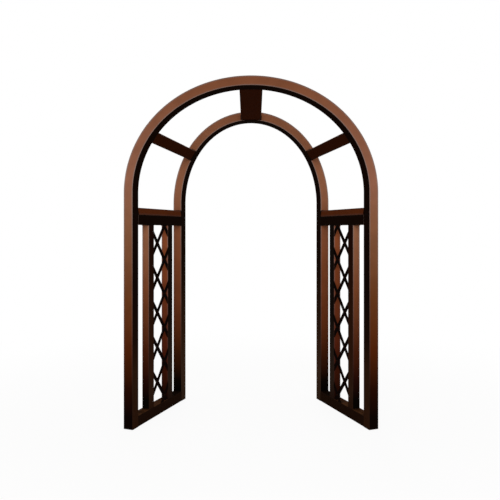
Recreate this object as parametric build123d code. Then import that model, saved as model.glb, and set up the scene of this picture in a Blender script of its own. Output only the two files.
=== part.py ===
"""A splayed metal garden arch: two tube hoops on two lattice side panels.

Millimetres and degrees. +Z is up, the ground is Z = 0 and the wide front of the arch faces -Y.
The origin is on the ground at the middle of the arch's outer box.
"""

from build123d import *
import math
import os

# Overall shape
FRONT_WIDTH = 1788.0  # across the outer corners of the front posts
HEIGHT = 2480.0  # from the ground to the top edge of the front hoop
PANEL_HEIGHT = 1506.0  # from the ground to the top of the posts
SPLAY = 20.3  # turn of each side panel, inwards towards the rear
ROOF_FALL = 125.0  # drop of the crown from the front edge of the arch to its rear edge

# Square tube of the posts and hoops, and the wall and corners of all the tubes
TUBE = 75.0
TUBE_WALL = 2.0
TUBE_CORNER = 4.0

# Side panel, along its length from the front post to the rear post
FRONT_GAP = 150.0  # between the front post and the front upright
REAR_GAP = 156.0  # between the rear upright and the rear post
UPRIGHT_WIDTH = 70.0
UPRIGHT_DEPTH = 60.0
LATTICE_WIDTH = 220.0
BOTTOM_RAIL_HEIGHT = 78.0
TOP_RAIL_HEIGHT = 72.0

# Tie rail between the feet of the hoops, with its inner face leaning back
TIE_HEIGHT = 50.0
TIE_BEVEL = 8.0

# Lattice of two layers of flat bars, riveted where they cross
LATTICE_PITCH = 262.0
BAR_WIDTH = 32.0
BAR_THICKNESS = 3.0
BAR_SETBACK = 1.0  # of the bars from the inner face of the panel
RIVET_SHANK = 6.0
RIVET_HEAD = 12.0
RIVET_HEAD_RISE = 2.5

# Hoops: straight feet on the posts, then a bend a little fuller at its shoulders than an ellipse
FRONT_FOOT = 150.0
REAR_FOOT = 105.0
HOOP_FULLNESS = 0.005
HOOP_SECTIONS = 17  # that the bend is drawn through

# Bars between the two hoops
CROWN_BAR_WIDTH = 165.0
HAUNCH_BAR_WIDTH = 85.0
HAUNCH_FRONT_ANGLE = 32.0  # of the haunch bars' front ends above the spring line
HAUNCH_REAR_ANGLE = 34.7
BRACE_THICKNESS = 40.0
BRACE_SETBACK = 1.0  # of the bars' undersides from the rounded edges of the hoops

# Spigots inside the posts and the feet of the hoops, and their screws
SPIGOT_WALL = 2.5
SPIGOT_GRIP = 90.0  # length inside the post, and again inside the hoop
SCREW_SHANK = 8.0
SCREW_LENGTH = 20.0
SCREW_HEAD = 14.0
SCREW_HEAD_RISE = 4.4

# Plugs that close the posts at the ground, and the holes for ground anchors
CAP_FLANGE = 4.0
CAP_PLUG = 25.0
CAP_WALL = 5.0
ANCHOR_HOLE = 13.0

# Fits
SLIP_GAP = 0.3  # between a tube and what slides into it, on each side
HOLE_GAP = 0.2  # between a shank and its hole, on each side

# Worked-out sizes
FRONT_UPRIGHT = TUBE + FRONT_GAP
LATTICE_START = FRONT_UPRIGHT + UPRIGHT_WIDTH
REAR_UPRIGHT = LATTICE_START + LATTICE_WIDTH
REAR_POST = REAR_UPRIGHT + UPRIGHT_WIDTH + REAR_GAP
PANEL_LENGTH = REAR_POST + TUBE
RAIL_UNDERSIDE = PANEL_HEIGHT - TOP_RAIL_HEIGHT
BORE = TUBE - 2 * TUBE_WALL
BORE_CORNER = TUBE_CORNER - TUBE_WALL

TURN = math.radians(SPLAY)
CORNER_TRIM = TUBE_CORNER * (math.cos(TURN) + math.sin(TURN) - 1)
INNER_FRONT = FRONT_WIDTH / 2 - TUBE * math.cos(TURN) + CORNER_TRIM
INNER_REAR = INNER_FRONT - PANEL_LENGTH * math.sin(TURN)
PANEL_RUN = PANEL_LENGTH * math.cos(TURN)
FRONT_Y = -(PANEL_RUN + TUBE * math.sin(TURN)) / 2
REAR_Y = FRONT_Y + PANEL_RUN

ROOF_TILT = math.atan2(ROOF_FALL, PANEL_RUN)
CROWN_TRIM = TUBE_CORNER * (math.cos(ROOF_TILT) + math.sin(ROOF_TILT) - 1)
CROWN = HEIGHT + CROWN_TRIM - TUBE * math.cos(ROOF_TILT)
FRONT_SPRING = PANEL_HEIGHT + FRONT_FOOT
REAR_SPRING = PANEL_HEIGHT + REAR_FOOT
FRONT_RISE = CROWN - FRONT_SPRING
REAR_RISE = CROWN - ROOF_FALL - REAR_SPRING

# The left panel's own frame: X along the panel to the rear, Y outwards from its inner face, Z up
LEFT_PANEL = Plane(
    origin=(-INNER_FRONT, FRONT_Y, 0),
    x_dir=(math.sin(TURN), math.cos(TURN), 0),
    z_dir=(0, 0, 1),
)


def standing_tube(start, width, depth, bottom, top):
    """A vertical tube of the panel, from its start along the panel, with its inner face on the panel's."""
    middle = Pos(start + width / 2, depth / 2, bottom)
    outside = middle * RectangleRounded(width, depth, TUBE_CORNER)
    inside = middle * RectangleRounded(width - 2 * TUBE_WALL, depth - 2 * TUBE_WALL, BORE_CORNER)
    return extrude(outside - inside, top - bottom)


def lying_tube(section, start, end):
    """A horizontal tube of the panel, with the section's X outwards and its Y up."""
    face = fillet(section.vertices(), TUBE_CORNER)
    hollow = offset(section, -TUBE_WALL)
    bore = fillet(hollow.vertices(), BORE_CORNER)
    return extrude(Plane.YZ.offset(start) * (face - bore), end - start)


def rail(bottom, height):
    """A rail as deep as the posts, between the two posts of the panel."""
    section = Pos(TUBE / 2, bottom + height / 2) * Rectangle(TUBE, height)
    return lying_tube(section, TUBE, REAR_POST)


def bottom_rail():
    """The rail on the ground, with a hole right through it in each post gap for a ground anchor."""
    drill = Pos(0, TUBE / 2, BOTTOM_RAIL_HEIGHT / 2) * Cylinder(ANCHOR_HOLE / 2, 2 * BOTTOM_RAIL_HEIGHT)
    front, rear = (TUBE + FRONT_GAP / 2, REAR_POST - REAR_GAP / 2)
    return rail(0, BOTTOM_RAIL_HEIGHT) - Pos(front) * drill - Pos(rear) * drill


def tie_rail():
    """The bevelled rail that lies on the top rail and ties the feet of the hoops."""
    top = PANEL_HEIGHT + TIE_HEIGHT
    outline = Polyline(
        (0, PANEL_HEIGHT), (TUBE, PANEL_HEIGHT), (TUBE, top), (TIE_BEVEL, top), close=True
    )
    return lying_tube(make_face(outline), TUBE, REAR_POST)


def joint_heights():
    """Heights of the screws of one post-to-hoop joint: below the seam and above it."""
    return [PANEL_HEIGHT - SPIGOT_GRIP / 2, PANEL_HEIGHT + SPIGOT_GRIP / 2]


def outward_hole(post, height):
    """The drill for one joint screw, through the outer wall of a post or hoop and of its spigot."""
    drill = Cylinder(SCREW_SHANK / 2 + HOLE_GAP, 2 * SCREW_LENGTH)
    return Pos(post + TUBE / 2, TUBE, height) * Rot(90, 0, 0) * drill


def post(start):
    """A post on its foot cap, drilled for the screw that holds its spigot."""
    tube = standing_tube(start, TUBE, TUBE, CAP_FLANGE, PANEL_HEIGHT)
    return tube - outward_hole(start, joint_heights()[0])


def upright(start):
    """A tube beside the lattice, between the two rails of the panel."""
    return standing_tube(start, UPRIGHT_WIDTH, UPRIGHT_DEPTH, BOTTOM_RAIL_HEIGHT, RAIL_UNDERSIDE)


def spigot(start):
    """The sleeve inside the top of a post and the foot of a hoop, drilled for its two screws."""
    size = BORE - 2 * SLIP_GAP
    middle = Pos(start + TUBE / 2, TUBE / 2, PANEL_HEIGHT - SPIGOT_GRIP)
    outside = RectangleRounded(size, size, BORE_CORNER)
    inside = Rectangle(size - 2 * SPIGOT_WALL, size - 2 * SPIGOT_WALL)
    sleeve = extrude(middle * (outside - inside), 2 * SPIGOT_GRIP)
    for height in joint_heights():
        sleeve -= outward_hole(start, height)
    return sleeve


def joint_screws():
    """The four button-head screws of one side, from the outside into the spigots."""
    shank = extrude(Circle(SCREW_SHANK / 2), -SCREW_LENGTH)
    head = extrude(Circle(SCREW_HEAD / 2), SCREW_HEAD_RISE)
    head = fillet(head.edges().group_by(Axis.Z)[-1], SCREW_HEAD_RISE / 2)
    screw = Rot(-90, 0, 0) * (shank + head)
    return [
        Pos(start + TUBE / 2, TUBE, height) * screw
        for start in (0, REAR_POST)
        for height in joint_heights()
    ]


def foot_cap(start):
    """The plug in the bottom of a post: a flange on the ground and a hollow plug inside the tube."""
    middle = Pos(start + TUBE / 2, TUBE / 2)
    size = BORE - 2 * SLIP_GAP
    flange = extrude(middle * RectangleRounded(TUBE, TUBE, TUBE_CORNER), CAP_FLANGE)
    ring = RectangleRounded(size, size, BORE_CORNER) - Rectangle(size - 2 * CAP_WALL, size - 2 * CAP_WALL)
    return flange + extrude(middle * ring, CAP_FLANGE + CAP_PLUG)


def lattice_window(layer):
    """The space between the rails, up to the uprights' rounded corners, that one layer of bars fills."""
    height = RAIL_UNDERSIDE - BOTTOM_RAIL_HEIGHT
    width = LATTICE_WIDTH + 2 * TUBE_CORNER
    corner = Pos(LATTICE_START - TUBE_CORNER, BAR_SETBACK + layer * BAR_THICKNESS, BOTTOM_RAIL_HEIGHT)
    space = corner * Box(width, BAR_THICKNESS, height, align=(Align.MIN, Align.MIN, Align.MIN))
    for start in (FRONT_UPRIGHT, REAR_UPRIGHT):
        middle = Pos(start + UPRIGHT_WIDTH / 2, UPRIGHT_DEPTH / 2, BOTTOM_RAIL_HEIGHT)
        space -= extrude(middle * RectangleRounded(UPRIGHT_WIDTH, UPRIGHT_DEPTH, TUBE_CORNER), height)
    return space


def lattice_crossings():
    """Where the bars cross, as places along the panel and heights, in two staggered columns."""
    crossings = []
    steps = math.ceil((RAIL_UNDERSIDE - BOTTOM_RAIL_HEIGHT) / LATTICE_PITCH) * 2
    for step in range(1, steps + 1):
        quarter = 0.75 if step % 2 == 0 else 0.25
        height = RAIL_UNDERSIDE - step * LATTICE_PITCH / 2
        if height > BOTTOM_RAIL_HEIGHT + BAR_WIDTH:
            crossings.append((LATTICE_START + quarter * LATTICE_WIDTH, height))
    return crossings


def lattice_bars(rising):
    """One layer of parallel lattice bars, cut to the window and drilled for the rivets."""
    window = lattice_window(0 if rising else 1)
    slope = math.degrees(math.atan2(LATTICE_PITCH, LATTICE_WIDTH))
    length = 2 * math.hypot(LATTICE_PITCH, LATTICE_WIDTH)
    blank = Rot(0, -slope if rising else slope, 0) * Box(length, 4 * BAR_THICKNESS, BAR_WIDTH)
    drills = [
        Pos(place, 0, height) * Rot(90, 0, 0) * Cylinder(RIVET_SHANK / 2 + HOLE_GAP, 4 * TUBE)
        for place, height in lattice_crossings()
    ]
    # A rising bar meets the rear column at three quarters of the width, level with the top rail
    lead = -0.25 if rising else 0.25
    middle = LATTICE_START + LATTICE_WIDTH / 2
    bars = []
    for step in range(-1, math.ceil(RAIL_UNDERSIDE / LATTICE_PITCH) + 1):
        height = RAIL_UNDERSIDE + (lead - step) * LATTICE_PITCH
        place = Pos(middle, BAR_SETBACK + BAR_THICKNESS, height)
        for piece in (window & (place * blank)).solids():
            if piece.volume > BAR_WIDTH**2 * BAR_THICKNESS:
                bars.append(piece - drills)
    return bars


def lattice_rivets():
    """A round-head rivet at each crossing, closed on both sides of the two bars."""
    grip = 2 * BAR_THICKNESS
    shank = extrude(Circle(RIVET_SHANK / 2), grip)
    head = extrude(Circle(RIVET_HEAD / 2), RIVET_HEAD_RISE)
    head = fillet(head.edges().group_by(Axis.Z)[-1], 0.8 * RIVET_HEAD_RISE)
    rivet = shank + Pos(0, 0, grip) * head + Rot(180, 0, 0) * head
    return [
        Pos(place, BAR_SETBACK, height) * Rot(-90, 0, 0) * rivet for place, height in lattice_crossings()
    ]


def edge_point(angle, width, spring, rise, depth):
    """A point on one inner edge of the arch, and the edge's direction there, from the right foot over."""
    swell = 1 + HOOP_FULLNESS * math.sin(2 * angle) ** 2
    growth = 2 * HOOP_FULLNESS * math.sin(4 * angle)
    across = width * math.cos(angle)
    up = rise * math.sin(angle)
    sideways = across * growth - width * math.sin(angle) * swell
    upwards = up * growth + rise * math.cos(angle) * swell
    return Vector(across * swell, depth, spring + up * swell), Vector(sideways, 0, upwards).normalized()


def front_edge(angle):
    """The inner edge of the front hoop at its front."""
    return edge_point(angle, INNER_FRONT, FRONT_SPRING, FRONT_RISE, FRONT_Y)


def rear_edge(angle):
    """The inner edge of the rear hoop at its back."""
    return edge_point(angle, INNER_REAR, REAR_SPRING, REAR_RISE, REAR_Y)


def ruling(angle):
    """The direction across the inside of the arch to the rear: level at the feet, down the roof at the crown."""
    inwards = (INNER_REAR - INNER_FRONT) * math.cos(angle)
    return Vector(inwards, PANEL_RUN, -ROOF_FALL * math.sin(angle)).normalized()


def hoop_plane(edge, reach, angle):
    """The plane of a hoop's section: X along the ruling, Y outwards, centred in the tube."""
    point, heading = edge(angle)
    along = ruling(angle)
    outwards = along.cross(heading).normalized()
    centre = point + along * reach * TUBE / 2 + outwards * TUBE / 2
    return Plane(origin=centre, x_dir=along, z_dir=along.cross(outwards))


def hoop_body(edge, reach, size, corner, foot):
    """A solid hoop of one section, bent over the arch, with two straight feet of the given length."""
    section = RectangleRounded(size, size, corner)
    angles = [math.pi * step / (HOOP_SECTIONS - 1) for step in range(HOOP_SECTIONS)]
    bend = loft([hoop_plane(edge, reach, angle) * section for angle in angles])
    feet = [
        extrude(hoop_plane(edge, reach, angle) * section, foot, dir=(0, 0, -1)) for angle in (0, math.pi)
    ]
    return bend + feet[0] + feet[1]


def hoop(edge, reach, foot, post_start):
    """A hoop: the solid outside of it, and the tube drilled for its two joint screws."""
    outside = hoop_body(edge, reach, TUBE, TUBE_CORNER, foot)
    tube = outside - hoop_body(edge, reach, BORE, BORE_CORNER, foot + TUBE)
    drill = LEFT_PANEL * outward_hole(post_start, joint_heights()[1])
    return outside, tube - drill - mirror(drill, about=Plane.YZ)


def brace(front_angle, rear_angle, width, hoops):
    """A flat tube between the two hoops, fitted to their facing sides, with its underside near the inside."""
    front, front_heading = front_edge(front_angle)
    rear, rear_heading = rear_edge(rear_angle)
    start = front + ruling(front_angle) * TUBE
    end = rear - ruling(rear_angle) * TUBE
    along = (end - start).normalized()
    outwards = along.cross((front_heading + rear_heading).normalized()).normalized()
    overlap = TUBE / 2
    underside = TUBE_CORNER + BRACE_SETBACK
    middle = start - along * overlap + outwards * (underside + BRACE_THICKNESS / 2)
    outside = RectangleRounded(width, BRACE_THICKNESS, TUBE_CORNER)
    inside = RectangleRounded(width - 2 * TUBE_WALL, BRACE_THICKNESS - 2 * TUBE_WALL, BORE_CORNER)
    section = Plane(origin=middle, x_dir=outwards.cross(along), z_dir=along) * (outside - inside)
    bar = extrude(section, (end - start).length + 2 * overlap)
    for body in hoops:
        bar -= body
    return bar


def panel_pieces():
    """Every piece of one side panel, in the panel's own frame, by name."""
    return {
        "front_post": post(0),
        "rear_post": post(REAR_POST),
        "front_upright": upright(FRONT_UPRIGHT),
        "rear_upright": upright(REAR_UPRIGHT),
        "bottom_rail": bottom_rail(),
        "top_rail": rail(RAIL_UNDERSIDE, TOP_RAIL_HEIGHT),
        "tie_rail": tie_rail(),
        "lattice_rising_bars": lattice_bars(rising=True),
        "lattice_falling_bars": lattice_bars(rising=False),
        "lattice_rivets": lattice_rivets(),
        "front_foot_cap": foot_cap(0),
        "rear_foot_cap": foot_cap(REAR_POST),
        "front_spigot": spigot(0),
        "rear_spigot": spigot(REAR_POST),
        "joint_screws": joint_screws(),
    }


def arch_pieces():
    """The two hoops and the three bars between them, by name."""
    front_body, front_hoop = hoop(front_edge, 1, FRONT_FOOT, 0)
    rear_body, rear_hoop = hoop(rear_edge, -1, REAR_FOOT, REAR_POST)
    bodies = (front_body, rear_body)
    crown = math.pi / 2
    front, rear = math.radians(HAUNCH_FRONT_ANGLE), math.radians(HAUNCH_REAR_ANGLE)
    return {
        "front_hoop": front_hoop,
        "rear_hoop": rear_hoop,
        "crown_bar": brace(crown, crown, CROWN_BAR_WIDTH, bodies),
        "left_haunch_bar": brace(math.pi - front, math.pi - rear, HAUNCH_BAR_WIDTH, bodies),
        "right_haunch_bar": brace(front, rear, HAUNCH_BAR_WIDTH, bodies),
    }


def assembly():
    """Every piece of the arch in place, by node name."""
    pieces = arch_pieces()
    for name, made in panel_pieces().items():
        solids = made if isinstance(made, list) else [made]
        left = LEFT_PANEL * Compound(children=[solid for item in solids for solid in item.solids()])
        pieces[f"left_{name}"] = left
        pieces[f"right_{name}"] = mirror(left, about=Plane.YZ)
    return pieces


os.makedirs("parts", exist_ok=True)
for node, shape in assembly().items():
    export_step(shape, f"parts/{node}.step")
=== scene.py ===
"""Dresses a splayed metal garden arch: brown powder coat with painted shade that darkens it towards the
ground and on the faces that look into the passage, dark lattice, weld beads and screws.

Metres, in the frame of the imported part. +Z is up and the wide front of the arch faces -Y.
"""

import logging
import math
from dataclasses import dataclass
from enum import Enum
from functools import cache

import bmesh
import bpy
from mathutils import Matrix, Vector

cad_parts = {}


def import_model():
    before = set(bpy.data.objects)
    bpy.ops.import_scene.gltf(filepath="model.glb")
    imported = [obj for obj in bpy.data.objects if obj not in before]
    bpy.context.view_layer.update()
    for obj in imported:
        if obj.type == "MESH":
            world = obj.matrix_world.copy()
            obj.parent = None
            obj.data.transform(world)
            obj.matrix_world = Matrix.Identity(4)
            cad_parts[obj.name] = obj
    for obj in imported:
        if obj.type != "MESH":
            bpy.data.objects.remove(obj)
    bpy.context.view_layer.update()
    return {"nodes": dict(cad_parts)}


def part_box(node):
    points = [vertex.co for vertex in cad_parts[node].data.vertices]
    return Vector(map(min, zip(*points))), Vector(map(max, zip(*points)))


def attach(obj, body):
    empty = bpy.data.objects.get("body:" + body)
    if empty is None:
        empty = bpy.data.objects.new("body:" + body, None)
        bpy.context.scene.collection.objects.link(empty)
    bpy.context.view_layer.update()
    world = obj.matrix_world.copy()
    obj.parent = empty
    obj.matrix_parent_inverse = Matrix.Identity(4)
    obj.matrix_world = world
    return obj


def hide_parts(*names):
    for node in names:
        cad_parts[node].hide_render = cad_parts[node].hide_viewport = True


MM = 0.001
BODY = "root"
WHITE = (1.0, 1.0, 1.0, 1.0)
# A mix node's colour sockets by place, because they share their names with its other sockets.
FIRST_COLOUR, SECOND_COLOUR, MIXED_COLOUR = 6, 7, 2
LOG = logging.getLogger("garden_arch")

Colour = tuple[float, float, float, float]
HeightShade = tuple[tuple[float, str], ...]
Span = tuple[float, float]
Run = list[Vector]


class Side(Enum):
    """The two side panels, with the sign of their X."""

    LEFT = -1
    RIGHT = 1

    @property
    def label(self) -> str:
        """The start of this side's node names."""
        return self.name.lower()


class End(Enum):
    """The two ends of a bar between the hoops, with the sign of their Y."""

    FRONT = -1
    REAR = 1


def linear(colour: str) -> Colour:
    """Turns an sRGB hex colour to linear light.

    Args:
        colour: the colour as #RRGGBB.

    Returns:
        Linear red, green, blue and an alpha of 1.
    """
    parts = [int(colour[place : place + 2], 16) / 255 for place in (1, 3, 5)]
    red, green, blue = (p / 12.92 if p <= 0.04045 else ((p + 0.055) / 1.055) ** 2.4 for p in parts)
    return red, green, blue, 1.0


def add_node(
    tree: bpy.types.NodeTree,
    kind: str,
    settings: dict[str, object] | None = None,
    inputs: dict[str | int, object] | None = None,
) -> bpy.types.Node:
    """Adds a node to a material or world.

    Args:
        tree: the node tree that it joins.
        kind: its type, such as ShaderNodeTexNoise.
        settings: its properties, by name.
        inputs: for each input, by name or place, a value or the output that is linked to it.

    Returns:
        The new node.
    """
    node = tree.nodes.new(kind)
    for name, value in (settings or {}).items():
        setattr(node, name, value)
    for key, value in (inputs or {}).items():
        if isinstance(value, bpy.types.NodeSocket):
            tree.links.new(value, node.inputs[key])
        else:
            node.inputs[key].default_value = value
    return node


def blank_material(name: str) -> tuple[bpy.types.Material, bpy.types.NodeTree, bpy.types.Node]:
    """Starts a material with one Principled shader on its output.

    Args:
        name: the material's name.

    Returns:
        The material, its node tree and its shader.
    """
    material = bpy.data.materials.new(name)
    material.use_nodes = True
    tree = material.node_tree
    tree.nodes.clear()
    shader = add_node(tree, "ShaderNodeBsdfPrincipled")
    add_node(tree, "ShaderNodeOutputMaterial", inputs={"Surface": shader.outputs["BSDF"]})
    return material, tree, shader


@dataclass(frozen=True)
class PowderCoat:
    """Powder coat: pigment melted on to steel, a little uneven like orange peel, and nearly matt.

    Attributes:
        name: the material's name.
        fade: the colour at each height in mm, from the ground up: the brown pigment with painted shade that
            darkens it towards the ground.
        inside: the same for the faces that look into the passage, on which light and shade are painted,
            mostly as dark shade.
        inner: how far out a face looks where it starts to be an inner face, and where it is one.
        spring_mm: the height at which the hoops start to bend.
        splay: how far the panels' outer sides look to the rear, for each metre that they look sideways.
        fall: how far the roof's top looks to the rear, for each metre that it looks up.
        mottle_mm: the size of the clouds in the pigment.
        mottle_layers: the number of finer layers in them.
        clouds: the levels of their pattern between which they show.
        clouding: how much lighter and darker than the pigment they are.
        edge_light_and_shade: how much lighter an edge beside the passage is painted, as a highlight, and how
            much darker the far edge, as painted shade.
        edge_reflection: how much of its colour an edge of the hoops loses to a painted grey reflection.
        low_reflection_spared: how much of that painted reflection is spared at the ground.
        edge_mm: the width of the edges with painted highlight, shade and reflection.
        edge_lean: how far the rounded normal leans away from the face at a full edge.
        edge_samples: the number of looks round each point for an edge.
        dust: the colour of settled dust, which also stands for painted light on the level tops.
        dust_and_light: how much dust and painted light lie on a level face at the ground, from 0 to 1.
        dust_mm: the height up to which the dust and painted light thin out.
        dust_left: how much of them lies at that height and above, as a share.
        rear_shade_mm: how far behind the arch's middle painted shade starts to take the dust and light away,
            and where it has taken them all.
        patches: the levels of the clouds between which the dust comes and goes.
        level: how far up a face has to look for the first dust to lie on it, and for all of it.
        roughness: the shader's roughness, about which it varies.
        unevenness: how far the roughness varies to both sides.
        specular: the shader's specular level.
        peel_mm: the size of the orange peel, drawn coarser than the real one so that it shows.
        peel_layers: the number of finer layers in it.
        peel_depth_mm: its depth.
        peel_strength: how strongly it bends the light.
    """

    name: str
    fade: HeightShade
    inside: HeightShade
    inner: Span = (-0.1, -0.4)
    spring_mm: float = 1650.0
    splay: float = 0.37
    fall: float = 0.163
    mottle_mm: float = 90.0
    mottle_layers: float = 4.0
    clouds: Span = (0.3, 0.7)
    clouding: float = 0.08
    edge_light_and_shade: float = 0.16
    edge_reflection: float = 0.5
    low_reflection_spared: float = 0.75
    edge_mm: float = 14.0
    edge_lean: float = 0.4
    edge_samples: int = 8
    dust: str = "#6B4226"
    dust_and_light: float = 0.5
    dust_mm: float = 600.0
    dust_left: float = 0.2
    rear_shade_mm: Span = (80.0, 180.0)
    patches: Span = (0.2, 0.5)
    level: Span = (0.6, 0.95)
    roughness: float = 0.75
    unevenness: float = 0.1
    specular: float = 0.004
    peel_mm: float = 5.0
    peel_layers: float = 2.0
    peel_depth_mm: float = 0.1
    peel_strength: float = 0.25

    def material(self) -> bpy.types.Material:
        """Builds the material on Object coordinates.

        Returns:
            The new material.
        """
        material, tree, shader = blank_material(self.name)
        coords = add_node(tree, "ShaderNodeTexCoord")
        place, facing = coords.outputs["Object"], coords.outputs["Normal"]
        axes = add_node(tree, "ShaderNodeSeparateXYZ", inputs={"Vector": place})
        outward = self.outward(tree, axes)
        looks_out = add_node(
            tree, "ShaderNodeVectorMath", {"operation": "DOT_PRODUCT"}, {0: outward, 1: facing}
        ).outputs["Value"]
        mottle = add_node(
            tree,
            "ShaderNodeTexNoise",
            inputs={"Vector": place, "Scale": 1 / (self.mottle_mm * MM), "Detail": self.mottle_layers},
        ).outputs["Fac"]
        peel = add_node(
            tree,
            "ShaderNodeTexNoise",
            inputs={"Vector": place, "Scale": 1 / (self.peel_mm * MM), "Detail": self.peel_layers},
        ).outputs["Fac"]

        colour = self.pigment(tree, axes.outputs["Z"], looks_out, mottle)
        colour = self.painted_edges(tree, axes.outputs["Z"], outward, looks_out, colour)
        colour = self.dusted_and_lit(tree, axes, facing, mottle, colour)
        bump = add_node(
            tree,
            "ShaderNodeBump",
            inputs={"Strength": self.peel_strength, "Distance": self.peel_depth_mm * MM, "Height": peel},
        )
        gloss = add_node(
            tree,
            "ShaderNodeMapRange",
            inputs={
                "Value": mottle,
                "To Min": self.roughness - self.unevenness,
                "To Max": self.roughness + self.unevenness,
            },
        )
        tree.links.new(colour, shader.inputs["Base Color"])
        tree.links.new(gloss.outputs["Result"], shader.inputs["Roughness"])
        tree.links.new(bump.outputs["Normal"], shader.inputs["Normal"])
        shader.inputs["Specular IOR Level"].default_value = self.specular
        return material

    def outward(self, tree: bpy.types.NodeTree, axes: bpy.types.Node) -> bpy.types.NodeSocket:
        """Points out of the passage: sideways at the panels, and like the spokes of a wheel at the hoops.

        Args:
            tree: the material's node tree.
            axes: the node that splits the coordinates.

        Returns:
            The direction, of length 1.
        """
        above = add_node(
            tree, "ShaderNodeMath", {"operation": "SUBTRACT"}, {0: axes.outputs["Z"], 1: self.spring_mm * MM}
        )
        rise = add_node(tree, "ShaderNodeMath", {"operation": "MAXIMUM"}, {0: above.outputs[0], 1: 0.0})
        breadth = add_node(tree, "ShaderNodeMath", {"operation": "ABSOLUTE"}, {0: axes.outputs["X"]})
        tilt = add_node(
            tree, "ShaderNodeMath", {"operation": "MULTIPLY"}, {0: rise.outputs[0], 1: self.fall}
        )
        rearward = add_node(
            tree,
            "ShaderNodeMath",
            {"operation": "MULTIPLY_ADD"},
            {0: breadth.outputs[0], 1: self.splay, 2: tilt.outputs[0]},
        )
        spoke = add_node(
            tree,
            "ShaderNodeCombineXYZ",
            inputs={"X": axes.outputs["X"], "Y": rearward.outputs[0], "Z": rise.outputs[0]},
        )
        unit = add_node(
            tree, "ShaderNodeVectorMath", {"operation": "NORMALIZE"}, {0: spoke.outputs["Vector"]}
        )
        return unit.outputs["Vector"]

    @staticmethod
    def shaded_by_height(tree: bpy.types.NodeTree, height: bpy.types.NodeSocket, fade: HeightShade) -> bpy.types.NodeSocket:
        """Paints shade on the pigment by height, from the ground up.

        Args:
            tree: the material's node tree.
            height: the height above the ground in metres.
            fade: the colour at each height in mm, with its painted shade.

        Returns:
            The colour at that height.
        """
        top = fade[-1][0]
        share = add_node(tree, "ShaderNodeMapRange", inputs={"Value": height, "From Max": top * MM})
        ramp = add_node(tree, "ShaderNodeValToRGB", inputs={"Fac": share.outputs["Result"]})
        stops = ramp.color_ramp.elements
        for index, (level, colour) in enumerate(fade):
            stop = stops[index] if index < len(stops) else stops.new(1.0)
            stop.position = level / top
            stop.color = linear(colour)
        return ramp.outputs["Color"]

    def pigment(
        self,
        tree: bpy.types.NodeTree,
        height: bpy.types.NodeSocket,
        looks_out: bpy.types.NodeSocket,
        mottle: bpy.types.NodeSocket,
    ) -> bpy.types.NodeSocket:
        """Colours the faces, with painted shade on those that look into the passage, and clouds the colour a
        little.

        Args:
            tree: the material's node tree.
            height: the height above the ground in metres.
            looks_out: how far the face looks out of the passage, from -1 to 1.
            mottle: the pattern of the clouds.

        Returns:
            The clouded colour.
        """
        # Painted shade: the faces that look into the passage take the dark inner colours.
        start, end = self.inner
        inner_shade_share = add_node(
            tree,
            "ShaderNodeMapRange",
            {"interpolation_type": "SMOOTHSTEP"},
            {"Value": looks_out, "From Min": start, "From Max": end},
        )
        shell, inside = (self.shaded_by_height(tree, height, fade) for fade in (self.fade, self.inside))
        faces = add_node(
            tree,
            "ShaderNodeMix",
            {"data_type": "RGBA"},
            {"Factor": inner_shade_share.outputs["Result"], FIRST_COLOUR: shell, SECOND_COLOUR: inside},
        )
        low, high = self.clouds
        shade = add_node(
            tree,
            "ShaderNodeMapRange",
            inputs={
                "Value": mottle,
                "From Min": low,
                "From Max": high,
                "To Min": 1 - self.clouding,
                "To Max": 1 + self.clouding,
            },
        )
        clouded = add_node(
            tree,
            "ShaderNodeHueSaturation",
            inputs={"Value": shade.outputs["Result"], "Color": faces.outputs[MIXED_COLOUR]},
        )
        return clouded.outputs["Color"]

    def painted_edges(
        self,
        tree: bpy.types.NodeTree,
        height: bpy.types.NodeSocket,
        outward: bpy.types.NodeSocket,
        looks_out: bpy.types.NodeSocket,
        colour: bpy.types.NodeSocket,
    ) -> bpy.types.NodeSocket:
        """Paints a highlight on the edges beside the passage and shade on the far edges, and greys both
        edges as a painted reflection that is weaker near the ground.

        Args:
            tree: the material's node tree.
            height: the height above the ground in metres.
            outward: the direction out of the passage.
            looks_out: how far the face looks that way, from -1 to 1.
            colour: the colour away from the edges.

        Returns:
            The colour with its edges.
        """
        soft = add_node(
            tree, "ShaderNodeBevel", {"samples": self.edge_samples}, {"Radius": self.edge_mm * MM}
        ).outputs["Normal"]
        edge_looks_out = add_node(
            tree, "ShaderNodeVectorMath", {"operation": "DOT_PRODUCT"}, {0: outward, 1: soft}
        ).outputs["Value"]
        lean = add_node(
            tree, "ShaderNodeMath", {"operation": "SUBTRACT"}, {0: looks_out, 1: edge_looks_out}
        ).outputs[0]
        # Painted highlight on the edges beside the passage, and painted shade on the far edges.
        tone = add_node(
            tree,
            "ShaderNodeMapRange",
            inputs={
                "Value": lean,
                "From Min": -self.edge_lean,
                "From Max": self.edge_lean,
                "To Min": 1 - self.edge_light_and_shade,
                "To Max": 1 + self.edge_light_and_shade,
            },
        )
        bend = add_node(tree, "ShaderNodeMath", {"operation": "ABSOLUTE"}, {0: lean}).outputs[0]
        # Painted reflection: the edges lose colour to grey, less of it near the ground.
        reflection_grey = add_node(
            tree,
            "ShaderNodeMapRange",
            inputs={
                "Value": height,
                "From Max": self.spring_mm * MM,
                "To Min": 1 - self.edge_reflection * (1 - self.low_reflection_spared),
                "To Max": 1 - self.edge_reflection,
            },
        )
        purity = add_node(
            tree,
            "ShaderNodeMapRange",
            inputs={
                "Value": bend,
                "From Max": self.edge_lean,
                "To Min": 1.0,
                "To Max": reflection_grey.outputs["Result"],
            },
        )
        edged = add_node(
            tree,
            "ShaderNodeHueSaturation",
            inputs={
                "Saturation": purity.outputs["Result"],
                "Value": tone.outputs["Result"],
                "Color": colour,
            },
        )
        return edged.outputs["Color"]

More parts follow.
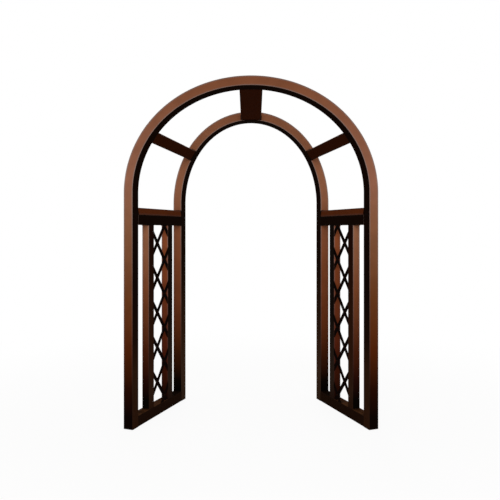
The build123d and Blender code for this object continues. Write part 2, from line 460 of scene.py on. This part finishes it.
    def dusted_and_lit(
        self,
        tree: bpy.types.NodeTree,
        axes: bpy.types.Node,
        facing: bpy.types.NodeSocket,
        mottle: bpy.types.NodeSocket,
        colour: bpy.types.NodeSocket,
    ) -> bpy.types.NodeSocket:
        """Lays dust and painted light on the level faces near the ground, with painted shade that takes them
        away in the narrow rear corners.

        Args:
            tree: the material's node tree.
            axes: the node that splits the coordinates.
            facing: the normal.
            mottle: a cloudy pattern that breaks the dust up.
            colour: the colour under the dust.

        Returns:
            The colour with its dust.
        """
        # Dust and painted light on the faces that look up, which catch the light from above; painted shade
        # takes them away towards the rear corners.
        upward = add_node(tree, "ShaderNodeSeparateXYZ", inputs={"Vector": facing}).outputs["Z"]
        shade_starts, shade_full = (reach * MM for reach in self.rear_shade_mm)
        low = add_node(
            tree,
            "ShaderNodeMapRange",
            inputs={
                "Value": axes.outputs["Z"],
                "From Max": self.dust_mm * MM,
                "To Min": self.dust_and_light,
                "To Max": self.dust_and_light * self.dust_left,
            },
        )
        share = low.outputs["Result"]
        for value, (start, end) in (
            (upward, self.level),
            (axes.outputs["Y"], (shade_full, shade_starts)),
            (mottle, self.patches),
        ):
            limit = add_node(
                tree, "ShaderNodeMapRange", inputs={"Value": value, "From Min": start, "From Max": end}
            )
            share = add_node(
                tree, "ShaderNodeMath", {"operation": "MULTIPLY"}, {0: share, 1: limit.outputs["Result"]}
            ).outputs[0]
        covered = add_node(
            tree,
            "ShaderNodeMix",
            {"data_type": "RGBA"},
            {"Factor": share, FIRST_COLOUR: colour, SECOND_COLOUR: linear(self.dust)},
        )
        return covered.outputs[MIXED_COLOUR]


@dataclass(frozen=True)
class MouldedNylon:
    """Moulded nylon: an even dark plastic with the fine grain of its mould.

    Attributes:
        name: the material's name.
        colour: the plastic's colour.
        scuffed: the colour where the ground has scuffed it.
        scuff_mm: the size of the scuffs.
        scuff_layers: the number of finer layers in them.
        scuffs: the levels of their pattern between which they show.
        grain_mm: the size of the mould's grain, drawn coarser than the real one so that it shows.
        grain_layers: the number of finer layers in it.
        grain_depth_mm: its depth.
        grain_strength: how strongly it bends the light.
        roughness: the shader's roughness.
        specular: the shader's specular level.
    """

    name: str
    colour: str
    scuffed: str
    scuff_mm: float = 12.0
    scuff_layers: float = 6.0
    scuffs: Span = (0.5, 0.7)
    grain_mm: float = 1.5
    grain_layers: float = 2.0
    grain_depth_mm: float = 0.05
    grain_strength: float = 0.3
    roughness: float = 0.55
    specular: float = 0.3

    def material(self) -> bpy.types.Material:
        """Builds the material on Object coordinates.

        Returns:
            The new material.
        """
        material, tree, shader = blank_material(self.name)
        place = add_node(tree, "ShaderNodeTexCoord").outputs["Object"]
        marks = add_node(
            tree,
            "ShaderNodeTexNoise",
            inputs={"Vector": place, "Scale": 1 / (self.scuff_mm * MM), "Detail": self.scuff_layers},
        )
        low, high = self.scuffs
        scuff = add_node(
            tree,
            "ShaderNodeMapRange",
            inputs={"Value": marks.outputs["Fac"], "From Min": low, "From Max": high},
        )
        colour = add_node(
            tree,
            "ShaderNodeMix",
            {"data_type": "RGBA"},
            {
                "Factor": scuff.outputs["Result"],
                FIRST_COLOUR: linear(self.colour),
                SECOND_COLOUR: linear(self.scuffed),
            },
        )
        grain = add_node(
            tree,
            "ShaderNodeTexNoise",
            inputs={"Vector": place, "Scale": 1 / (self.grain_mm * MM), "Detail": self.grain_layers},
        )
        bump = add_node(
            tree,
            "ShaderNodeBump",
            inputs={
                "Strength": self.grain_strength,
                "Distance": self.grain_depth_mm * MM,
                "Height": grain.outputs["Fac"],
            },
        )
        tree.links.new(colour.outputs[MIXED_COLOUR], shader.inputs["Base Color"])
        tree.links.new(bump.outputs["Normal"], shader.inputs["Normal"])
        shader.inputs["Roughness"].default_value = self.roughness
        shader.inputs["Specular IOR Level"].default_value = self.specular
        return material


@dataclass(frozen=True)
class GalvanisedSteel:
    """Galvanised steel: zinc frozen on to the sleeve in grey crystals that shine unevenly.

    Attributes:
        name: the material's name.
        pale: the colour of the brightest crystals.
        dull: the colour of the dullest crystals.
        spangle_mm: the size of a crystal.
        roughness: the roughness of the smoothest crystals and of the roughest.
    """

    name: str
    pale: str
    dull: str
    spangle_mm: float = 9.0
    roughness: Span = (0.35, 0.6)

    def material(self) -> bpy.types.Material:
        """Builds the material on Object coordinates.

        Returns:
            The new material.
        """
        material, tree, shader = blank_material(self.name)
        place = add_node(tree, "ShaderNodeTexCoord").outputs["Object"]
        spangle = add_node(
            tree, "ShaderNodeTexVoronoi", inputs={"Vector": place, "Scale": 1 / (self.spangle_mm * MM)}
        )
        tone = add_node(tree, "ShaderNodeSeparateColor", inputs={"Color": spangle.outputs["Color"]})
        crystal = tone.outputs["Red"]
        colour = add_node(
            tree,
            "ShaderNodeMix",
            {"data_type": "RGBA"},
            {"Factor": crystal, FIRST_COLOUR: linear(self.dull), SECOND_COLOUR: linear(self.pale)},
        )
        smooth, rough = self.roughness
        gloss = add_node(
            tree, "ShaderNodeMapRange", inputs={"Value": crystal, "To Min": smooth, "To Max": rough}
        )
        tree.links.new(colour.outputs[MIXED_COLOUR], shader.inputs["Base Color"])
        tree.links.new(gloss.outputs["Result"], shader.inputs["Roughness"])
        shader.inputs["Metallic"].default_value = 1.0
        return material


Finish = PowderCoat | MouldedNylon | GalvanisedSteel


def plain(colour: str) -> HeightShade:
    """One colour at every height, with no shade painted by height."""
    return (0.0, colour), (1.0, colour)


# Colours by height in mm, from the ground up, with painted shade: the outer faces darken towards the ground,
# and the hoops a little at the crown, and the inner faces are painted dark as shade, palest just above the
# ground where painted light from the floor falls.
FRONT_HEIGHT_SHADE = (
    (90.0, "#0D0503"),
    (290.0, "#270D03"),
    (560.0, "#50220B"),
    (915.0, "#67391D"),
    (1400.0, "#83563C"),
    (1750.0, "#91604A"),
    (2490.0, "#74452D"),
)
FRONT_INNER_SHADE = ((150.0, "#2E190D"), (410.0, "#2C190D"), (620.0, "#1B0D06"), (970.0, "#120703"))
REAR_HEIGHT_SHADE = (
    (90.0, "#050201"),
    (172.0, "#0E0602"),
    (417.0, "#421E0B"),
    (662.0, "#612F17"),
    (1152.0, "#7D462A"),
    (1750.0, "#946045"),
    (2490.0, "#7C4D35"),
)
REAR_INNER_SHADE = (
    (90.0, "#352419"),
    (240.0, "#3C281C"),
    (490.0, "#331F13"),
    (1100.0, "#180C05"),
    (1750.0, "#120703"),
)
FRONT_UPRIGHT_HEIGHT_SHADE = (
    (150.0, "#0A0502"),
    (296.0, "#290E07"),
    (516.0, "#4C2210"),
    (957.0, "#7B462A"),
    (1434.0, "#9C694C"),
)
FRONT_UPRIGHT_INNER_SHADE = ((70.0, "#281409"), (200.0, "#301D12"), (400.0, "#30190D"), (1434.0, "#1A0702"))
REAR_UPRIGHT_HEIGHT_SHADE = ((90.0, "#240D05"), (499.0, "#522010"), (1038.0, "#7B3E22"), (1434.0, "#8E4E2F"))
REAR_UPRIGHT_INNER_SHADE = ((100.0, "#25150E"), (200.0, "#2D2018"), (420.0, "#281D16"), (730.0, "#120B07"))
RAIL_HEIGHT_SHADE = ((0.0, "#180B05"), (78.0, "#120803"))
DARK_FADE = ((90.0, "#0B0503"), (2490.0, "#100604"))
WELD_CORNER_SHADE = ((90.0, "#0B0503"), (2490.0, "#2A140B"))

# Powder-coated steel tube: matt copper brown at the hoops, with painted shade that sinks it to near black at
# the feet and darkens the faces that look into the passage.
FRONT_COAT = PowderCoat("brown_powder_coated_front_tube", FRONT_HEIGHT_SHADE, FRONT_INNER_SHADE)
# The same on the rear tubes: a little redder, with painted shade on the inner faces that is palest just
# above the ground, as painted light from the floor.
REAR_COAT = PowderCoat("brown_powder_coated_rear_tube", REAR_HEIGHT_SHADE, REAR_INNER_SHADE)
# The same on the front uprights: the palest brown, just under the top rail, lightened as painted light
# against the shade of the front posts, with painted shade towards the ground.
FRONT_UPRIGHT_COAT = PowderCoat(
    "brown_powder_coated_front_upright", FRONT_UPRIGHT_HEIGHT_SHADE, FRONT_UPRIGHT_INNER_SHADE
)
# The same on the rear uprights: a warm red brown that shows through the lattice, with painted shade that
# darkens it towards the ground.
REAR_UPRIGHT_COAT = PowderCoat(
    "brown_powder_coated_rear_upright", REAR_UPRIGHT_HEIGHT_SHADE, REAR_UPRIGHT_INNER_SHADE
)
# The same on the bottom rails: almost black as painted shade near the ground, with dust and painted light
# that brown their tops.
RAIL_COAT = PowderCoat("powder_coated_bottom_rail_painted_shade", RAIL_HEIGHT_SHADE, plain("#1E0F07"), dust_and_light=0.45)
# The same on the bars between the hoops: brown from above, and painted shade in a deep warm brown on the
# faces that look down into the passage.
BAR_COAT = PowderCoat("brown_powder_coated_bar", FRONT_HEIGHT_SHADE, plain("#2E1104"))
# The same on the tie rails: a red-brown bevel, lit by painted light as it leans up, that stands out over the
# black rail below it, whose inner face carries painted shade.
TIE_COAT = PowderCoat("brown_powder_coated_tie_rail", FRONT_HEIGHT_SHADE, plain("#532610"))
# Powder-coated flat bar: so dark that the lattice reads as black lines.
LATTICE_COAT = PowderCoat("dark_powder_coated_flat_bar", DARK_FADE, plain("#0E0503"), edge_light_and_shade=0.05)
# Powder coat over a weld: a dark, finely rippled line in each corner, painted dark as the shade in the
# corners.
WELD_COAT = PowderCoat(
    "powder_coated_weld_painted_shade", WELD_CORNER_SHADE, FRONT_INNER_SHADE, edge_light_and_shade=0.0, edge_reflection=0.0, peel_mm=2.0
)
# Painted rivets: dark like the bars, with a painted highlight on the faces that look into the passage, so
# that each crossing has a soft dot.
RIVET_COAT = PowderCoat(
    "dark_painted_rivet", DARK_FADE, plain("#24120B"), edge_light_and_shade=0.0, edge_reflection=0.0, peel_mm=2.0
)
# Painted screws: the brown of the tubes with its painted shade by height, and a crisp rim of painted
# highlight and shade.
FASTENER_COAT = PowderCoat(
    "brown_painted_fastener", FRONT_HEIGHT_SHADE, plain("#120703"), peel_mm=2.0, edge_mm=1.0
)
# Moulded nylon: an even, dull black with paler scuffs.
FOOT_NYLON = MouldedNylon("moulded_black_nylon", "#0A0706", "#1E1815")
# Galvanised steel: grey crystals, some bright and some dull.
SLEEVE_ZINC = GalvanisedSteel("galvanised_steel_sleeve", "#A9ACAE", "#85898C")


@cache
def coated(finish: Finish) -> bpy.types.Material:
    """Gives a finish's material, built once."""
    return finish.material()


def dress(node: bpy.types.Object, finish: Finish) -> None:
    """Puts a finish on a piece.

    Args:
        node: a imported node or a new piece.
        finish: the finish for all of it.
    """
    node.data.materials.clear()
    node.data.materials.append(coated(finish))
    LOG.info("%s: %s", node.name, finish.name)


def centre(node: str) -> Vector:
    """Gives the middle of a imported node's box."""
    low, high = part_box(node)
    return (Vector(low) + Vector(high)) / 2


def new_piece(name: str, shape: bmesh.types.BMesh, finish: Finish) -> bpy.types.Object:
    """Turns a bmesh to a piece that belongs to the arch.

    Args:
        name: the piece's name.
        shape: its mesh, in place. It is freed.
        finish: its finish.

    Returns:
        The new piece.
    """
    bmesh.ops.recalc_face_normals(shape, faces=shape.faces)
    mesh = bpy.data.meshes.new(name)
    shape.to_mesh(mesh)
    shape.free()
    piece = bpy.data.objects.new(name, mesh)
    bpy.context.scene.collection.objects.link(piece)
    mesh.shade_smooth()
    dress(piece, finish)
    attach(piece, BODY)
    return piece


@dataclass
class WeldBead:
    """A rippled weld bead in an inside corner.

    Attributes:
        radius: the bead's radius.
        pitch: the distance between two ripples.
        ripple: how much a ripple swells the bead, as a share of the radius.
        taper: the radius at a free end, as a share of the radius.
        sides: the number of sides of its round section.
    """

    radius: float = 3.5 * MM
    pitch: float = 4.0 * MM
    ripple: float = 0.2
    taper: float = 0.6
    sides: int = 8

    def lay(self, shape: bmesh.types.BMesh, corners: Run, closed: bool) -> None:
        """Lays a bead along straight runs.

        Args:
            shape: the bmesh that it joins.
            corners: the corners of the path.
            closed: whether the path comes back to its start.
        """
        path = self.ripples(corners + corners[:1] if closed else corners)
        rings: list[list[bmesh.types.BMEdge]] = []
        for index, spot in enumerate(path):
            before = path[index - 1] if index or closed else spot
            after = path[(index + 1) % len(path)] if index + 1 < len(path) or closed else spot
            turn = (after - before).to_track_quat("Z", "Y").to_matrix().to_4x4()
            swell = self.ripple if index % 2 else 0.0
            at_end = not closed and index in (0, len(path) - 1)
            ring = bmesh.ops.create_circle(
                shape,
                cap_ends=at_end,
                segments=self.sides,
                radius=self.radius * (self.taper if at_end else 1 + swell),
                matrix=Matrix.Translation(spot) @ turn,
            )
            rings.append(list({edge for vertex in ring["verts"] for edge in vertex.link_edges}))
        pairs = list(zip(rings, rings[1:] + rings[:1])) if closed else list(zip(rings, rings[1:]))
        for first, second in pairs:
            bmesh.ops.bridge_loops(shape, edges=first + second)

    def ripples(self, corners: Run) -> Run:
        """Steps along a path from ripple to ripple.

        Args:
            corners: the corners of the path.

        Returns:
            The middle of each ripple and hollow. The last corner of a closed path isn't repeated.
        """
        spots: Run = []
        for start, end in zip(corners, corners[1:]):
            steps = max(1, round((end - start).length / (self.pitch / 2)))
            spots += [start.lerp(end, step / steps) for step in range(steps)]
        if (corners[-1] - corners[0]).length > self.pitch:
            spots.append(corners[-1])
        return spots


@dataclass
class ButtonScrew:
    """A button-head screw with a hexagon socket.

    Attributes:
        head: the head's diameter.
        rise: the head's height.
        dome: the radius of the head's rounded edge.
        dome_steps: the number of steps in that edge.
        socket: the socket's size across its corners.
        socket_sides: the number of sides of the socket.
        sink: the socket's depth.
        sides: the number of sides of the round head.
    """

    head: float = 14.0 * MM
    rise: float = 4.4 * MM
    dome: float = 2.2 * MM
    dome_steps: int = 5
    socket: float = 5.8 * MM
    socket_sides: int = 6
    sink: float = 2.6 * MM
    sides: int = 36

    def fit(self, shape: bmesh.types.BMesh, place: Matrix) -> None:
        """Adds a screw head.

        Args:
            shape: the bmesh that it joins.
            place: the seat of the head, with its Z out of the tube.
        """
        base = bmesh.ops.create_circle(
            shape, cap_ends=True, segments=self.sides, radius=self.head / 2, matrix=place
        )
        seat = base["verts"][0].link_faces[0]
        raised = bmesh.ops.extrude_face_region(shape, geom=[seat], use_keep_orig=True)
        crown = [item for item in raised["geom"] if isinstance(item, bmesh.types.BMVert)]
        outwards = place.to_3x3() @ Vector((0, 0, 1))
        bmesh.ops.translate(shape, verts=crown, vec=outwards * self.rise)
        top = next(face for face in crown[0].link_faces if all(vertex in crown for vertex in face.verts))
        rounded = bmesh.ops.bevel(
            shape,
            geom=list(top.edges),
            offset=self.dome,
            segments=self.dome_steps,
            profile=0.5,
            affect="EDGES",
            material=-1,
        )
        faces = rounded["faces"] + ([top] if top.is_valid else [])
        plateau = max(faces, key=lambda face: len(face.verts))
        rim = list(plateau.edges)
        bmesh.ops.delete(shape, geom=[plateau], context="FACES_ONLY")
        mouth = bmesh.ops.create_circle(
            shape,
            segments=self.socket_sides,
            radius=self.socket / 2,
            matrix=place @ Matrix.Translation((0, 0, self.rise)),
        )
        lip = list({edge for vertex in mouth["verts"] for edge in vertex.link_edges})
        bmesh.ops.bridge_loops(shape, edges=rim + lip)
        wall = bmesh.ops.extrude_edge_only(shape, edges=lip)
        floor = [item for item in wall["geom"] if isinstance(item, bmesh.types.BMVert)]
        bmesh.ops.translate(shape, verts=floor, vec=-outwards * self.sink)
        bmesh.ops.contextual_create(shape, geom=floor)


@dataclass
class SidePanel:
    """One side panel: two posts, two uprights, rails, lattice and fasteners.

    Attributes:
        side: which of the two panels it is.
        nodes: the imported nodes, by name.
        tube: the side of the square posts.
        corner: the radius of the tubes' corners.
        upright_width: the uprights' size along the panel.
        upright_depth: the uprights' size across the panel.
        tie_bevel: how far the top of the tie rail leans back.
        groove_ripple: how much a bead ripples that is ground flush in a groove.
        screw_offset: the height of the joint screws above and below the seam.
    """

    side: Side
    nodes: dict[str, bpy.types.Object]
    tube: float = 75.0 * MM
    corner: float = 4.0 * MM
    upright_width: float = 70.0 * MM
    upright_depth: float = 60.0 * MM
    tie_bevel: float = 8.0 * MM
    groove_ripple: float = 0.1
    screw_offset: float = 45.0 * MM

    def name(self, piece: str) -> str:
        """The node name of one of this panel's pieces."""
        return f"{self.side.label}_{piece}"

    def ends(self) -> tuple[Vector, Vector]:
        """Finds the middles of the posts on the ground.

        Returns:
            The front post's and the rear post's.
        """
        front, rear = (centre(self.name(f"{end}_foot_cap")) for end in ("front", "rear"))
        front.z = rear.z = 0.0
        return front, rear

    def frame(self) -> Matrix:
        """Works out the panel's own frame.

        Returns:
            X along the panel to the rear, Y outwards from its inner face and Z up.
        """
        front, rear = self.ends()
        along = (rear - front).normalized()
        outwards = Vector((-along.y, along.x, 0)) * -self.side.value
        corner = front - (along + outwards) * self.tube / 2
        axes = Matrix((along, outwards, Vector((0, 0, 1)))).transposed().to_4x4()
        return Matrix.Translation(corner) @ axes

    def length(self) -> float:
        """The panel's length along its inner face."""
        front, rear = self.ends()
        return (rear - front).length + self.tube

    def weld_runs(self) -> list[Run]:
        """Finds the inside corners of the panel that are welded.

        Returns:
            The path of each bead, in the panel's own frame.
        """
        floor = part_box(self.name("bottom_rail"))[1][2]
        ceiling, roof = (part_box(self.name("top_rail"))[end][2] for end in (0, 1))
        tie_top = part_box(self.name("tie_rail"))[1][2]
        across = (self.corner, self.tube - self.corner)
        runs: list[Run] = []
        for along in (self.tube, self.length() - self.tube):
            runs += [[Vector((along, out, level)) for out in across] for level in (floor, ceiling)]
            outer = Vector((along, self.tube, tie_top))
            inner = Vector((along, self.tie_bevel, tie_top))
            runs.append([outer, inner, Vector((along, 0, roof))])
        for end in ("front", "rear"):
            middle = (self.frame().inverted() @ centre(self.name(f"{end}_upright"))).x
            sides = (middle - self.upright_width / 2, middle + self.upright_width / 2)
            for level in (floor, ceiling):
                runs.append(
                    [
                        Vector((sides[0], self.corner, level)),
                        Vector((sides[0], self.upright_depth, level)),
                        Vector((sides[1], self.upright_depth, level)),
                        Vector((sides[1], self.corner, level)),
                    ]
                )
        return runs

    def groove_runs(self) -> list[Run]:
        """Finds the upright grooves where the flat ends of the rails meet the posts' rounded corners.

        Returns:
            The path of each bead, in the panel's own frame.
        """
        boxes = [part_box(self.name(rail)) for rail in ("bottom_rail", "top_rail")]
        levels = [(low[2], high[2]) for low, high in boxes]
        inset = self.corner / 2
        sides = (inset, self.tube - inset)
        joints = (self.tube - inset, self.length() - self.tube + inset)
        return [
            [Vector((along, out, low + self.corner)), Vector((along, out, high - self.corner))]
            for along in joints
            for out in sides
            for low, high in levels
        ]

    def weld(self) -> None:
        """Lays the panel's weld beads, and fills the grooves at the rails' ends flush with the faces."""
        shape = bmesh.new()
        for run in self.weld_runs():
            WeldBead().lay(shape, run, closed=False)
        for run in self.groove_runs():
            WeldBead(radius=self.corner / 2, ripple=self.groove_ripple).lay(shape, run, closed=False)
        bmesh.ops.transform(shape, matrix=self.frame(), verts=shape.verts)
        new_piece(self.name("weld_beads"), shape, WELD_COAT)

    def fasten(self) -> None:
        """Fits the four screws that hold the hoops on the posts."""
        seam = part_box(self.name("top_rail"))[1][2]
        shape = bmesh.new()
        for along in (self.tube / 2, self.length() - self.tube / 2):
            for level in (seam - self.screw_offset, seam + self.screw_offset):
                seat = Matrix.Translation((along, self.tube, level)) @ Matrix.Rotation(-math.pi / 2, 4, "X")
                ButtonScrew().fit(shape, seat)
        bmesh.ops.transform(shape, matrix=self.frame(), verts=shape.verts)
        heads = new_piece(self.name("socket_screws"), shape, FASTENER_COAT)
        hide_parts(self.name("joint_screws"))

    def finishes(self) -> dict[str, Finish]:
        """Chooses the finishes.

        Returns:
            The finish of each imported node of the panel, by the piece's name.
        """
        return {
            "front_post": FRONT_COAT,
            "rear_post": REAR_COAT,
            "front_upright": FRONT_UPRIGHT_COAT,
            "rear_upright": REAR_UPRIGHT_COAT,
            "bottom_rail": RAIL_COAT,
            "top_rail": FRONT_COAT,
            "tie_rail": TIE_COAT,
            "lattice_rising_bars": LATTICE_COAT,
            "lattice_falling_bars": LATTICE_COAT,
            "lattice_rivets": RIVET_COAT,
            "front_foot_cap": FOOT_NYLON,
            "rear_foot_cap": FOOT_NYLON,
            "front_spigot": SLEEVE_ZINC,
            "rear_spigot": SLEEVE_ZINC,
        }

    def build(self) -> None:
        """Dresses the panel and adds its welds and screws."""
        for piece, finish in self.finishes().items():
            dress(self.nodes[self.name(piece)], finish)
        self.weld()
        self.fasten()


@dataclass
class ArchSection:
    """The two hoops and the three bars between them.

    Attributes:
        nodes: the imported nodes, by name.
        bars: the names of the bars.
        weld_gap: the distance within which two points of a bar's end are one.
        end_facing: how squarely a face has to look along the passage to be a bar's end.
        side_facing: how little a face may look along the passage to be a bar's side.
    """

    nodes: dict[str, bpy.types.Object]
    bars: tuple[str, ...] = ("crown_bar", "left_haunch_bar", "right_haunch_bar")
    weld_gap: float = 0.01 * MM
    end_facing: float = 0.8
    side_facing: float = 0.6

    def end_outline(self, bar: str, end: End) -> Run:
        """Finds the outline of a bar's end, where it meets a hoop.

        Args:
            bar: the bar's node name.
            end: which of its two ends.

        Returns:
            The corners of the outline, in order.
        """
        shape = bmesh.new()
        shape.from_mesh(self.nodes[bar].data)
        bmesh.ops.remove_doubles(shape, verts=shape.verts, dist=self.weld_gap)
        middle = centre(bar)
        links: dict[int, list[bmesh.types.BMVert]] = {}
        for edge in shape.edges:
            if len(edge.link_faces) != 2:
                continue
            cap, skin = sorted(edge.link_faces, key=lambda face: -face.normal.y * end.value)
            outer = skin.normal.dot(skin.calc_center_median() - middle) > 0
            at_end = cap.normal.y * end.value > self.end_facing and abs(skin.normal.y) < self.side_facing
            if at_end and outer:
                for first, second in (edge.verts, reversed(edge.verts)):
                    links.setdefault(first.index, []).append(second)
        start = min(links)
        shape.verts.ensure_lookup_table()
        path = [shape.verts[start]]
        seen = {start}
        while True:
            onward = [vertex for vertex in links.get(path[-1].index, []) if vertex.index not in seen]
            if not onward:
                break
            path.append(onward[0])
            seen.add(onward[0].index)
        outline = [vertex.co.copy() for vertex in path]
        shape.free()
        return outline

    def weld(self) -> None:
        """Lays the weld beads round both ends of each bar."""
        shape = bmesh.new()
        for bar in self.bars:
            for end in End:
                outline = self.end_outline(bar, end)
                LOG.info("%s: %s weld of %d corners", bar, end.name.lower(), len(outline))
                WeldBead().lay(shape, outline, closed=True)
        new_piece("arch_weld_beads", shape, WELD_COAT)

    def build(self) -> None:
        """Dresses the hoops and bars and adds their welds."""
        dress(self.nodes["front_hoop"], FRONT_COAT)
        dress(self.nodes["rear_hoop"], REAR_COAT)
        for bar in self.bars:
            dress(self.nodes[bar], BAR_COAT)
        self.weld()


@dataclass(frozen=True)
class Softbox:
    """A square lamp that is turned to the arch.

    Attributes:
        name: the lamp's name.
        place: where it hangs.
        power: its power in watts.
        size: its side.
        aim: the point that it is turned to.
    """

    name: str
    place: tuple[float, float, float]
    power: float
    size: float = 3.5
    aim: tuple[float, float, float] = (0.0, 0.0, 1.3)

    def hang(self) -> None:
        """Hangs the lamp."""
        lamp = bpy.data.lights.new(self.name, "AREA")
        lamp.size = self.size
        lamp.energy = self.power
        hung = bpy.data.objects.new(self.name, lamp)
        hung.location = self.place
        sight = Vector(self.aim) - Vector(self.place)
        hung.rotation_euler = sight.to_track_quat("-Z", "Y").to_euler()
        bpy.context.scene.collection.objects.link(hung)


@dataclass
class Studio:
    """The floor, the light and the camera.

    Attributes:
        eye: where the camera stands.
        focal_px: the camera's focal length in pixels of the picture.
        picture_px: the picture's width and height.
        sight_px: the pixel that the level camera looks at, from the picture's top left.
        sensor_mm: the width of the camera's sensor.
        floor_reach: half the width of the floor.
        floor_colour: the floor's colour.
        glow: how much of the floor's whiteness doesn't depend on the light, near the arch.
        white_from: the distance from the arch at which the floor starts to turn to the white background.
        white_at: the distance at which it is as white.
        ambient: the strength of the light from all round.
        softboxes: the lamps.
    """

    eye: tuple[float, float, float] = (0.0, -4.4516, 1.3928)
    focal_px: float = 581.2
    picture_px: float = 500.0
    sight_px: Span = (251.0, 230.6)
    sensor_mm: float = 36.0
    floor_reach: float = 30.0
    floor_colour: str = "#F2F1EF"
    glow: float = 0.92
    white_from: float = 1.0
    white_at: float = 4.0
    ambient: float = 0.5
    softboxes: tuple[Softbox, ...] = (
        Softbox("front_softbox", (0.0, -5.5, 3.6), 150.0),
        Softbox("rear_softbox", (0.0, 5.5, 3.6), 90.0),
    )

    def seen(self, tree: bpy.types.NodeTree) -> bpy.types.NodeSocket:
        """Finds the rays that see a background: the camera's, reflected ones and those through glass.

        Args:
            tree: the node tree of the floor or the world.

        Returns:
            1 for such a ray, 0 for one that lights the arch.
        """
        path = add_node(tree, "ShaderNodeLightPath")
        total = path.outputs["Is Camera Ray"]
        for kind in ("Is Glossy Ray", "Is Transmission Ray"):
            total = add_node(
                tree, "ShaderNodeMath", {"operation": "MAXIMUM"}, {0: total, 1: path.outputs[kind]}
            ).outputs[0]
        return total

    def lay_floor(self) -> None:
        """Lays a plain white floor that keeps the shadow of the arch."""
        material = bpy.data.materials.new("white_studio_floor")
        material.use_nodes = True
        tree = material.node_tree
        tree.nodes.clear()
        matt = add_node(tree, "ShaderNodeBsdfDiffuse", inputs={"Color": linear(self.floor_colour)})
        white = add_node(tree, "ShaderNodeEmission", inputs={"Color": WHITE, "Strength": 1.0})
        place = add_node(tree, "ShaderNodeTexCoord").outputs["Object"]
        distance = add_node(tree, "ShaderNodeVectorMath", {"operation": "LENGTH"}, {0: place})
        glow = add_node(
            tree,
            "ShaderNodeMapRange",
            {"interpolation_type": "SMOOTHSTEP"},
            {
                "Value": distance.outputs["Value"],
                "From Min": self.white_from,
                "From Max": self.white_at,
                "To Min": self.glow,
                "To Max": 1.0,
            },
        )
        share = add_node(
            tree,
            "ShaderNodeMath",
            {"operation": "MULTIPLY"},
            {0: self.seen(tree), 1: glow.outputs["Result"]},
        )
        mixed = add_node(
            tree,
            "ShaderNodeMixShader",
            inputs={"Fac": share.outputs[0], 1: matt.outputs["BSDF"], 2: white.outputs["Emission"]},
        )
        add_node(tree, "ShaderNodeOutputMaterial", inputs={"Surface": mixed.outputs["Shader"]})
        shape = bmesh.new()
        bmesh.ops.create_grid(shape, x_segments=1, y_segments=1, size=self.floor_reach)
        mesh = bpy.data.meshes.new("studio_floor")
        shape.to_mesh(mesh)
        shape.free()
        mesh.materials.append(material)
        floor = bpy.data.objects.new("studio_floor", mesh)
        bpy.context.scene.collection.objects.link(floor)

    def light(self) -> None:
        """Lights the arch softly from all round, and from the front and the back."""
        world = bpy.data.worlds.new("white_studio")
        world.use_nodes = True
        tree = world.node_tree
        tree.nodes.clear()
        strength = add_node(
            tree,
            "ShaderNodeMapRange",
            inputs={"Value": self.seen(tree), "To Min": self.ambient, "To Max": 1.0},
        )
        sky = add_node(
            tree,
            "ShaderNodeBackground",
            inputs={"Color": WHITE, "Strength": strength.outputs["Result"]},
        )
        add_node(tree, "ShaderNodeOutputWorld", inputs={"Surface": sky.outputs["Background"]})
        bpy.context.scene.world = world
        for softbox in self.softboxes:
            softbox.hang()

    def point_camera(self) -> None:
        """Stands the level camera where the photograph was taken from."""
        camera = bpy.data.cameras.new("camera")
        camera.sensor_width = self.sensor_mm
        camera.lens = self.focal_px * self.sensor_mm / self.picture_px
        camera.shift_x = 0.5 - self.sight_px[0] / self.picture_px
        camera.shift_y = self.sight_px[1] / self.picture_px - 0.5
        standing = bpy.data.objects.new("camera", camera)
        standing.location = self.eye
        standing.rotation_euler = (math.pi / 2, 0.0, 0.0)
        bpy.context.scene.collection.objects.link(standing)
        bpy.context.scene.camera = standing

    def build(self) -> None:
        """Sets up the floor, the light, the camera and the plain view of colours."""
        self.lay_floor()
        self.light()
        self.point_camera()
        bpy.context.scene.view_settings.view_transform = "Standard"


def main() -> None:
    """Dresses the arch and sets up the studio."""
    logging.basicConfig(level=logging.INFO, format="%(message)s")
    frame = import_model()
    nodes = frame["nodes"]
    for side in Side:
        SidePanel(side, nodes).build()
    ArchSection(nodes).build()
    Studio().build()


if __name__ == "__main__":
    main()
